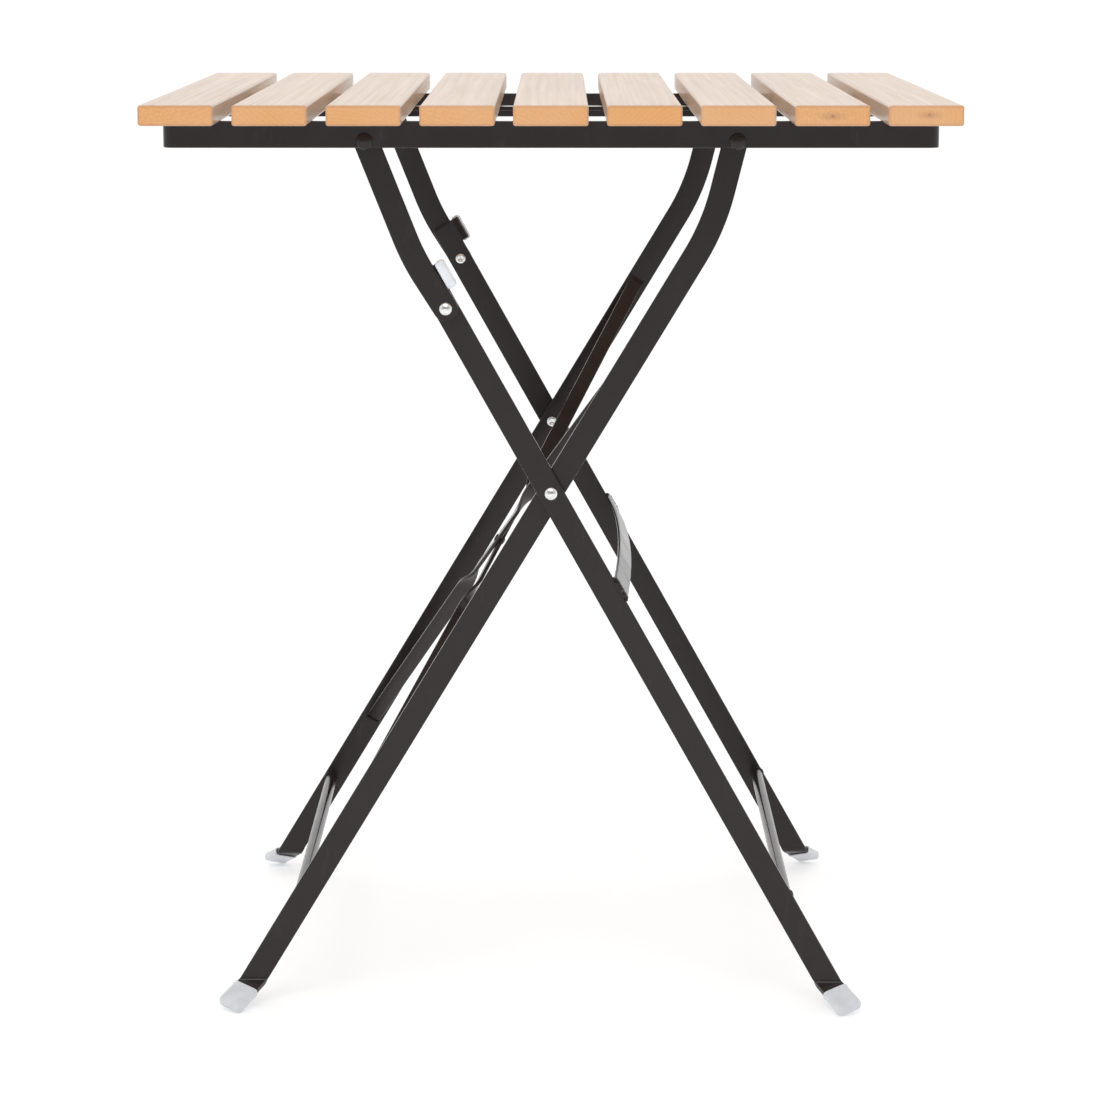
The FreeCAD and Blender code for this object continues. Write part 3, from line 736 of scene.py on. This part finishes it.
def toe_place(leg, outer_y):
    """The level of the toe's bend, the toe's directions, and the middle of its cut end."""
    lean, drop = leg.down.x, -leg.down.z
    middle_radius = TOE_INNER_RADIUS + BAR_THICKNESS / 2
    bend_z = (-CAP_FLAT + middle_radius * math.sin(TOE_BEND)
              + drop * math.cos(TOE_BEND) * (TOE_LENGTH + CAP_WALL)
              + (BAR_WIDTH / 2 + CAP_WALL) * abs(lean) * math.cos(TOE_BEND)
              + (BAR_THICKNESS / 2 + CAP_WALL) * math.sin(TOE_BEND))
    along = Vector((lean, drop * math.sin(TOE_BEND), -drop * math.cos(TOE_BEND)))
    across = Vector((-drop, lean * math.sin(TOE_BEND), -lean * math.cos(TOE_BEND)))
    normal = Vector((0, math.cos(TOE_BEND), math.sin(TOE_BEND)))
    bend_end = elbow_centre(leg, TOE_BEND, outer_y, bend_z)
    return bend_z, along, across, normal, bend_end + along * TOE_LENGTH


def toe_rings(leg, outer_y):
    """Rings round the toe's bend and out to its cut end, on the back side."""
    bend_z, along, across, normal, end = toe_place(leg, outer_y)
    level_half = BAR_WIDTH / 2 / -leg.down.z
    rings = []
    steps = 8
    for i in range(steps + 1):
        a = TOE_BEND * i / steps
        thick = Vector((0, math.cos(a), math.sin(a)))
        section = rounded_section(level_half, BAR_THICKNESS / 2, BAR_EDGE)
        rings.append(place_section(section, elbow_centre(leg, a, outer_y, bend_z), X_AXIS, thick))
    section = rounded_section(BAR_WIDTH / 2, BAR_THICKNESS / 2, BAR_EDGE)
    rings.append(place_section(section, end - along * 1.6, -across, normal))
    small = rounded_section(BAR_WIDTH / 2 - 1.5, BAR_THICKNESS / 2 - 0.8, BAR_EDGE)
    rings.append(place_section(small, end, -across, normal))
    return rings


def flipped(rings, sign):
    return [[Vector((p.x, p.y * sign, p.z)) for p in ring] for ring in rings]


def turned_half(ring):
    """The same section with its width direction reversed, so that it lines up with the rest."""
    count = len(ring)
    quarter = count // 4
    reordered = []
    for block in (1, 0, 3, 2):
        reordered += ring[block * quarter:(block + 1) * quarter][::-1]
    return reordered


def make_links():
    corner = meeting_point(PIVOT_A, down_direction(LINK_TOP_LEAN),
                           KNUCKLE, down_direction(LINK_LOWER_LEAN))
    path = bent_path(PIVOT_A, corner, KNUCKLE)
    y = (LINK_INNER + LINK_OUTER) / 2
    rings = round_end_rings(*path[0], y)
    rings += [bar_ring(place, direction, BAR_WIDTH / 2, y) for place, direction in path]
    place, direction = path[-1]
    rings += [turned_half(ring) for ring in round_end_rings(place, -direction, y)[::-1]]
    for side, sign in SIDES.items():
        bm = bmesh.new()
        loft(bm, flipped(rings, sign))
        add_piece("link_" + side, bm, COAT, UPPER_LINKS, ["upper_link_" + side])


def ear_planes():
    lean = math.radians(LINK_LOWER_LEAN) - math.atan2(LEGS_A.down.x, -LEGS_A.down.z)
    link_edge = BAR_WIDTH / 2 / math.cos(lean) - (EAR_START - SLEEVE_WALL) * math.tan(lean)
    inner = link_edge + STOP_CLEARANCE + SLEEVE_WALL
    return inner, inner + EAR_THICKNESS


def ear_rings():
    """The ear turned outwards beside the link, as sections across frame A's leg."""
    inner, outer = ear_planes()
    tip = LINK_INNER + EAR_REACH
    bend = EAR_BEND_RADIUS
    outline = [(0.0, LEG_A_OUTER - 0.2), (0.0, LEG_A_INNER + 0.2), (outer - bend, LEG_A_INNER)]
    for i in range(1, 8):
        a = math.radians(90 * i / 8)
        outline.append((outer - bend + bend * math.sin(a), LEG_A_INNER + bend - bend * math.cos(a)))
    outline += [(outer, LEG_A_INNER + bend), (outer, tip - 0.5), (outer - 0.5, tip), (inner + 0.5, tip),
                (inner, tip - 0.5), (inner, LEG_A_OUTER + 0.6), (inner - 0.6, LEG_A_OUTER)]
    middle_n, middle_y = (inner + outer) / 2, (LEG_A_INNER + tip) / 2
    rings = []
    top = -KNUCKLE_TO_CROSSING - EAR_END
    bottom = -KNUCKLE_TO_CROSSING - EAR_START
    for s, shrink in ((top, 0.94), (top + 0.5, 1.0), (bottom - 0.5, 1.0), (bottom, 0.94)):
        rings.append([LEGS_A.at(s, middle_n + (n - middle_n) * shrink, middle_y + (y - middle_y) * shrink)
                      for n, y in outline])
    return rings


def make_legs_a():
    half = BAR_WIDTH / 2
    y = (LEG_A_INNER + LEG_A_OUTER) / 2
    top = -KNUCKLE_TO_CROSSING - EAR_END
    rings = []
    for s, trim, eased in ((0.0, 2.6, 0.5), (0.6, 1.9, 0.0), (2.5, 0.0, 0.0), (40.0, 0.0, 0.0)):
        section = rounded_section(half - trim / 2, BAR_THICKNESS / 2 - eased, BAR_EDGE)
        centre = LEGS_A.at(top + s, trim / 2, y)
        rings.append(place_section(section, centre, LEGS_A.right, Y_AXIS))
    rings.append(bar_ring(CROSSING, LEGS_A.down, half, y))
    rings += toe_rings(LEGS_A, LEG_A_OUTER)
    for side, sign in SIDES.items():
        bm = bmesh.new()
        loft(bm, flipped(rings, sign))
        loft(bm, flipped(ear_rings(), sign))
        add_piece("leg_a_bar_" + side, bm, COAT, FRAME_A, ["leg_a_" + side])


def make_sleeves():
    """Milky plastic sleeve pushed over each ear: the link's edge rests against it."""
    inner, outer = ear_planes()
    tip = LINK_INNER + EAR_REACH + SLEEVE_WALL
    centre_n, half_n = (inner + outer) / 2, (outer - inner) / 2 + SLEEVE_WALL
    s0 = -KNUCKLE_TO_CROSSING - EAR_END - SLEEVE_WALL
    s1 = -KNUCKLE_TO_CROSSING - EAR_START + SLEEVE_WALL
    half_s = (s1 - s0) / 2
    rings = []
    stops = [(LINK_INNER, -0.15), (LINK_INNER + 0.3, 0.0)]
    stops += [(tip - back, grow) for back, grow in SLEEVE_TIP]
    for y, grow in stops:
        section = rounded_section(half_s + grow, half_n + grow, SLEEVE_CORNER, 6)
        centre = LEGS_A.at((s0 + s1) / 2, centre_n, y)
        rings.append(place_section(section, centre, LEGS_A.down, LEGS_A.right))
    for side, sign in SIDES.items():
        bm = bmesh.new()
        loft(bm, flipped(rings, sign))
        add_piece("sleeve_" + side, bm, SLEEVE_PLASTIC, FRAME_A, ["stop_sleeve_" + side])


def make_legs_b():
    half = BAR_WIDTH / 2
    y = (LEG_B_INNER + LEG_B_OUTER) / 2
    corner = meeting_point(PIVOT_B, down_direction(-LEG_B_TOP_LEAN), CROSSING, LEGS_B.down)
    path = bent_path(PIVOT_B, corner, CROSSING)
    rings = round_end_rings(*path[0], y)
    rings += [bar_ring(place, direction, half, y) for place, direction in path]
    rings += toe_rings(LEGS_B, LEG_B_OUTER)
    for side, sign in SIDES.items():
        bm = bmesh.new()
        loft(bm, flipped(rings, sign))
        add_piece("leg_b_bar_" + side, bm, COAT, FRAME_B, ["leg_b_" + side])


def cap_rings(leg, outer_y):
    """A back cap from inside its mouth to its nose, with what would go below the floor worn flat."""
    _, along, across, normal, end = toe_place(leg, outer_y)
    half_w, half_t = BAR_WIDTH / 2 + CAP_WALL, BAR_THICKNESS / 2 + CAP_WALL
    profile = [(inward - CAP_LENGTH, grow, grow) for inward, grow in CAP_MOUTH]
    body_length = CAP_LENGTH - 2 * CAP_MARGIN
    for i in range(9):
        waist = -CAP_WAIST * (1 - i / 8)
        profile.append((-CAP_LENGTH + CAP_MARGIN + body_length * i / 8, waist, waist))
    for degrees in CAP_NOSE_DEGREES:
        a = math.radians(degrees)
        crown = CAP_CROWN_SLOPE * CAP_NOSE * a
        slim = CAP_NOSE * (1 - math.cos(a)) if degrees > CAP_CROWN_DEGREES else crown
        distance = CAP_WALL - CAP_CORNER * (1 - math.sin(a))
        profile.append((distance, -CAP_CORNER * (1 - math.cos(a)), -slim))
    rings = []
    for distance, wider, thicker in profile:
        section = rounded_section(half_w + wider, half_t + thicker, CAP_NOSE, 6)
        ring = place_section(section, end + along * distance, across, normal)
        rings.append([Vector((p.x, p.y, max(p.z, 0.0))) for p in ring])
    return rings


def make_caps():
    """Moulded foot caps, with a lip at the mouth and the lowest corner worn flat."""
    for letter, leg, outer_y, body in (("a", LEGS_A, LEG_A_OUTER, FRAME_A),
                                       ("b", LEGS_B, LEG_B_OUTER, FRAME_B)):
        rings = cap_rings(leg, outer_y)
        for side, sign in SIDES.items():
            bm = bmesh.new()
            loft(bm, flipped(rings, sign))
            add_piece("cap_%s_%s" % (letter, side), bm, CAP_PLASTIC, body,
                      ["foot_cap_%s_%s" % (letter, side)])


# ---- stretchers and brace ----
def make_bowed_stretcher():
    base = BAR_WIDTH / 2 + STRIP_THICKNESS / 2
    flat_y = LEG_A_OUTER - STRIP_WELD_FLAT
    radius = (flat_y ** 2 + STRIP_BOW ** 2) / (2 * STRIP_BOW)
    s = LEGS_A.local(middle_of("bowed_stretcher"))[0]
    rings = []
    steps = 32
    stops = [(-LEG_A_OUTER, 0.4), (-LEG_A_OUTER + 0.5, 0.0)]
    stops += [(-flat_y + 2 * flat_y * i / steps, 0.0) for i in range(steps + 1)]
    stops += [(LEG_A_OUTER - 0.5, 0.0), (LEG_A_OUTER, 0.4)]
    for y, inset in stops:
        lift, slope = 0.0, 0.0
        if abs(y) < flat_y:
            lift = math.sqrt(radius ** 2 - y ** 2) - (radius - STRIP_BOW)
            slope = -y / math.sqrt(radius ** 2 - y ** 2)
        thick = (LEGS_A.right - Y_AXIS * slope).normalized()
        section = rounded_section(STRIP_WIDTH / 2 - inset, STRIP_THICKNESS / 2 - inset * 0.7, 0.8)
        rings.append(place_section(section, LEGS_A.at(s, base + lift, y), LEGS_A.down, thick))
    bm = bmesh.new()
    loft(bm, rings)
    for sign in (1, -1):
        n = BAR_WIDTH / 2 + 0.6
        inner_y, outer_y = sign * LEG_A_INNER, sign * (LEG_A_OUTER - 0.3)
        for edge in (-STRIP_WIDTH / 2 - 0.2, STRIP_WIDTH / 2 + 0.2):
            run = line_points(LEGS_A.at(s + edge, n, inner_y), LEGS_A.at(s + edge, n, outer_y))
            bead(bm, run, STRIP_SIDE_BEAD, 9)
        n = BAR_WIDTH / 2 + 0.8
        y = sign * (LEG_A_OUTER - 0.6)
        run = line_points(LEGS_A.at(s - STRIP_END_REACH, n, y), LEGS_A.at(s + STRIP_END_REACH, n, y))
        bead(bm, run, STRIP_END_BEAD, 10, ripple=STRIP_END_RIPPLE)
    add_piece("bowed_strip", bm, COAT, FRAME_A, ["bowed_stretcher"])


def make_tube(letter, body):
    node = "tube_stretcher_" + letter
    low, high = corners_mm(node)
    centre = (low + high) / 2
    bm = bmesh.new()
    rings = []
    for y in (low.y, low.y + 4, low.y / 2, 0.0, high.y / 2, high.y - 4, high.y):
        rings.append([Vector((centre.x + TUBE_RADIUS * math.cos(a), y, centre.z + TUBE_RADIUS * math.sin(a)))
                      for a in (2 * math.pi * i / 40 for i in range(40))])
    loft(bm, rings)
    for y in (low.y + 0.5, high.y - 0.5):
        run = circle_points(Vector((centre.x, y, centre.z)), Y_AXIS, TUBE_RADIUS + 0.3)
        bead(bm, run, TUBE_BEAD, int(y), True)
    add_piece("tube_" + letter, bm, COAT, body, [node])


def brace_rings(sign):
    half_s = (BRACE_FOOT - BRACE_TOP) / 2
    run = LEGS_B.down * half_s + Y_AXIS * (sign * LEG_B_INNER)
    half_length, along = run.length, run.normalized()
    flat_across = LEGS_B.right.cross(along)
    middle = LEGS_B.at((BRACE_TOP + BRACE_FOOT) / 2, -sign * BRACE_THICKNESS / 2, 0)
    start, stop = BRACE_TWIST
    spring = sign * (BRACE_THICKNESS / 2 + BRACE_END_OFFSET) / (half_length - start)
    rings = []
    stops = [-half_length, -half_length * 0.7]
    stops += [-stop + (stop - start) * i / 10 for i in range(11)]
    stops += [0.0]
    stops += [start + (stop - start) * i / 10 for i in range(11)]
    stops += [half_length * 0.7, half_length]
    section = rounded_section(BRACE_WIDTH / 2, BRACE_THICKNESS / 2, 0.7)
    for distance in stops:
        t = min(max((abs(distance) - start) / (stop - start), 0.0), 1.0)
        a = math.radians(90) * (3 * t * t - 2 * t * t * t)
        wide = flat_across * math.cos(a) + LEGS_B.right * math.sin(a)
        thick = LEGS_B.right * math.cos(a) - flat_across * math.sin(a)
        lift = spring * max(abs(distance) - start, 0.0)
        ring = place_section(section, middle + along * distance + LEGS_B.right * lift, wide, thick)
        if abs(distance) == half_length:
            wall = math.copysign(LEG_B_INNER, ring[0].y)
            ring = [p + along * ((wall - p.y) / along.y) for p in ring]
        rings.append(ring)
    return rings


def make_brace():
    for sign, word in ((-1, "lower"), (1, "upper")):
        rings = brace_rings(sign)
        bm = bmesh.new()
        loft(bm, rings)
        for ring in (rings[0], rings[-1]):
            centre = sum(ring, Vector()) / len(ring)
            inward = Y_AXIS * -math.copysign(0.5, centre.y)
            outline = [centre + (p - centre) * 1.04 + inward for p in ring]
            following = outline[1:] + outline[:1]
            outline = [a.lerp(b, t) for a, b in zip(outline, following) for t in (0, 0.34, 0.67)]
            bead(bm, outline, BRACE_BEAD, 21, True)
        add_piece("brace_" + word, bm, COAT, FRAME_B, ["brace_strip_" + word])
    bm = bmesh.new()
    middle = LEGS_B.at((BRACE_TOP + BRACE_FOOT) / 2, 0, 0)
    for way in (-1, 1):
        base = middle + LEGS_B.right * (way * BRACE_THICKNESS)
        lathe(bm, BRACE_RIVET, base, LEGS_B.right * way, 32)
    add_piece("brace_rivet_head", bm, COAT, FRAME_B, ["brace_rivet"])


# ---- pins, rivets, spacers and washers ----
def dome(head_radius, height, land):
    """Head profile from the bearing face out to the crown."""
    rise = height - land
    sphere = (head_radius ** 2 + rise ** 2) / (2 * rise)
    limit = math.asin(head_radius / sphere)
    points = [(head_radius - 0.15, 0.0), (head_radius, 0.15), (head_radius, land - 0.1)]
    for i in range(1, 12):
        a = limit * (1 - i / 12)
        points.append((sphere * math.sin(a), height - sphere + sphere * math.cos(a)))
    return points + [(0, height)]


def tail():
    """Set tail from the bearing face to the dimple in its middle."""
    return [(TAIL_RADIUS, 0.0), (TAIL_RADIUS, 0.6), (4.15, 1.1), (3.6, 1.42), (2.7, 1.5), (2.0, 1.42),
            (1.4, 1.0), (0.8, 0.82), (0, 0.8)]


def make_fasteners():
    jobs = [
        ("pin_a", PIVOT_A, RING_HIGH.y, PIN_HEAD, LINK_INNER, COAT, TABLE_TOP,
         "pivot_pins_a", "black_steel"),
        ("pin_b", PIVOT_B, RING_HIGH.y, PIN_HEAD, LEG_B_INNER, COAT, TABLE_TOP,
         "pivot_pins_b", "black_steel"),
        ("knuckle", KNUCKLE, LINK_OUTER, RIVET_HEAD, LEG_A_INNER, RIVET_ZINC, UPPER_LINKS,
         "knuckle_rivets", "rivet_zinc"),
    ]
    for name, place, head_y, head, tail_y, material, body, node, slot in jobs:
        bm = bmesh.new()
        for sign in SIDES.values():
            outward = Y_AXIS * sign
            shank = head_y - tail_y + PIVOT_GAP
            profile = [(0, -shank), (PIN_RADIUS, -shank), (PIN_RADIUS, 0.0)] + dome(*head)
            lathe(bm, profile, place + outward * head_y, outward)
            lathe(bm, [(0, -1.0), (PIN_RADIUS, -1.0), (PIN_RADIUS, 0.0)] + tail(),
                  place + outward * (tail_y - PIVOT_GAP), -outward)
        add_piece(name + "_fasteners", bm, material, body, [node], 50.0)
    heads, tails = bmesh.new(), bmesh.new()
    for sign in SIDES.values():
        outward = Y_AXIS * sign
        reach = LEG_A_OUTER - LEG_B_OUTER - PIVOT_GAP
        head = [(0, -reach), (PIN_RADIUS, -reach), (PIN_RADIUS, 0.0)] + dome(*RIVET_HEAD)
        lathe(heads, head, CROSSING + outward * LEG_A_OUTER, outward)
        lathe(tails, [(0, -BAR_THICKNESS), (PIN_RADIUS, -BAR_THICKNESS), (PIN_RADIUS, 0.0)] + tail(),
              CROSSING + outward * LEG_B_INNER, -outward)
    add_piece("crossing_heads", heads, RIVET_ZINC, FRAME_A, ["crossing_rivet_heads"],
              50.0)
    add_piece("crossing_tails", tails, RIVET_ZINC, FRAME_B, ["crossing_rivet_tails"],
              50.0)


def make_washers():
    jobs = [("spacers_a", PIVOT_A, TABLE_TOP), ("spacers_b", PIVOT_B, TABLE_TOP),
            ("crossing_washers", CROSSING, FRAME_A)]
    for node, place, body in jobs:
        low, high = corners_mm(node)
        radius = (high.x - low.x) / 2
        outer_y = high.y
        inner_y = (LINK_OUTER if node == "spacers_a" else LEG_B_OUTER) + PIVOT_GAP
        bm = bmesh.new()
        for sign in SIDES.values():
            outward = Y_AXIS * sign
            length = outer_y - inner_y
            ease = 0.3
            lathe(bm, [(0, 0), (radius - ease, 0), (radius, ease), (radius, length - ease),
                       (radius - ease, length), (0, length)], place + outward * inner_y, outward)
        add_piece(node + "_turned", bm, COAT, body, [node], 30.0)


# ---- stage, light and camera ----
def make_stage():
    bm = bmesh.new()
    bmesh.ops.create_grid(bm, x_segments=1, y_segments=1, size=FLOOR_HALF_SIZE)
    mesh = bpy.data.meshes.new("floor")
    bm.to_mesh(mesh)
    bm.free()
    m = Nodes("pale_floor")
    m.set(Base_Color=rgb(0.80, 0.80, 0.80), Roughness=0.9,
          Emission_Color=rgb(1, 1, 1), Emission_Strength=FLOOR_GLOW)
    mesh.materials.append(m.material)
    floor = bpy.data.objects.new("floor", mesh)
    floor.location.z = -FLOOR_DROP
    bpy.context.scene.collection.objects.link(floor)


def area_light(name, place, size, power):
    data = bpy.data.lights.new(name, "AREA")
    data.shape = "RECTANGLE"
    data.size, data.size_y = size
    data.energy = power
    light = bpy.data.objects.new(name, data)
    light.location = place
    light.rotation_mode = "QUATERNION"
    light.rotation_quaternion = (Vector(LIGHT_TARGET) - Vector(place)).to_track_quat("-Z", "Y")
    bpy.context.scene.collection.objects.link(light)


def make_lights():
    world = bpy.data.worlds.new("studio")
    world.use_nodes = True
    tree = world.node_tree
    direction = tree.nodes.new("ShaderNodeTexCoord").outputs["Generated"]
    split = tree.nodes.new("ShaderNodeSeparateXYZ")
    tree.links.new(direction, split.inputs["Vector"])
    glow = tree.nodes.new("ShaderNodeMath")
    glow.operation = "ADD"
    for slot, limits in enumerate(WORLD_GLOW):
        ramp = tree.nodes.new("ShaderNodeMapRange")
        ramp.interpolation_type = "SMOOTHSTEP"
        for key, value in zip(("From Min", "From Max", "To Min", "To Max"), limits):
            ramp.inputs[key].default_value = value
        tree.links.new(split.outputs["Y"], ramp.inputs["Value"])
        tree.links.new(ramp.outputs["Result"], glow.inputs[slot])
    background = tree.nodes["Background"]
    background.inputs["Color"].default_value = rgb(1.0, 1.0, 1.0)
    tree.links.new(glow.outputs[0], background.inputs["Strength"])
    bpy.context.scene.world = world
    for light in LIGHTS:
        area_light(*light)
    bpy.context.scene.view_settings.view_transform = "Standard"
    bpy.context.scene.view_settings.look = "None"


def make_camera():
    data = bpy.data.cameras.new("camera")
    data.sensor_width = 36.0
    data.lens = CAMERA_LENS
    camera = bpy.data.objects.new("camera", data)
    camera.location = CAMERA_PLACE
    camera.rotation_euler = (math.radians(90 - CAMERA_DOWN), 0, math.radians(CAMERA_TURN))
    bpy.context.scene.collection.objects.link(camera)
    bpy.context.scene.camera = camera


make_slats()
make_ring()
make_strap()
make_tabs()
make_screws()
make_links()
make_legs_a()
make_sleeves()
make_legs_b()
make_caps()
make_bowed_stretcher()
make_tube("a", FRAME_A)
make_tube("b", FRAME_B)
make_brace()
make_fasteners()
make_washers()
make_stage()
make_lights()
make_camera()
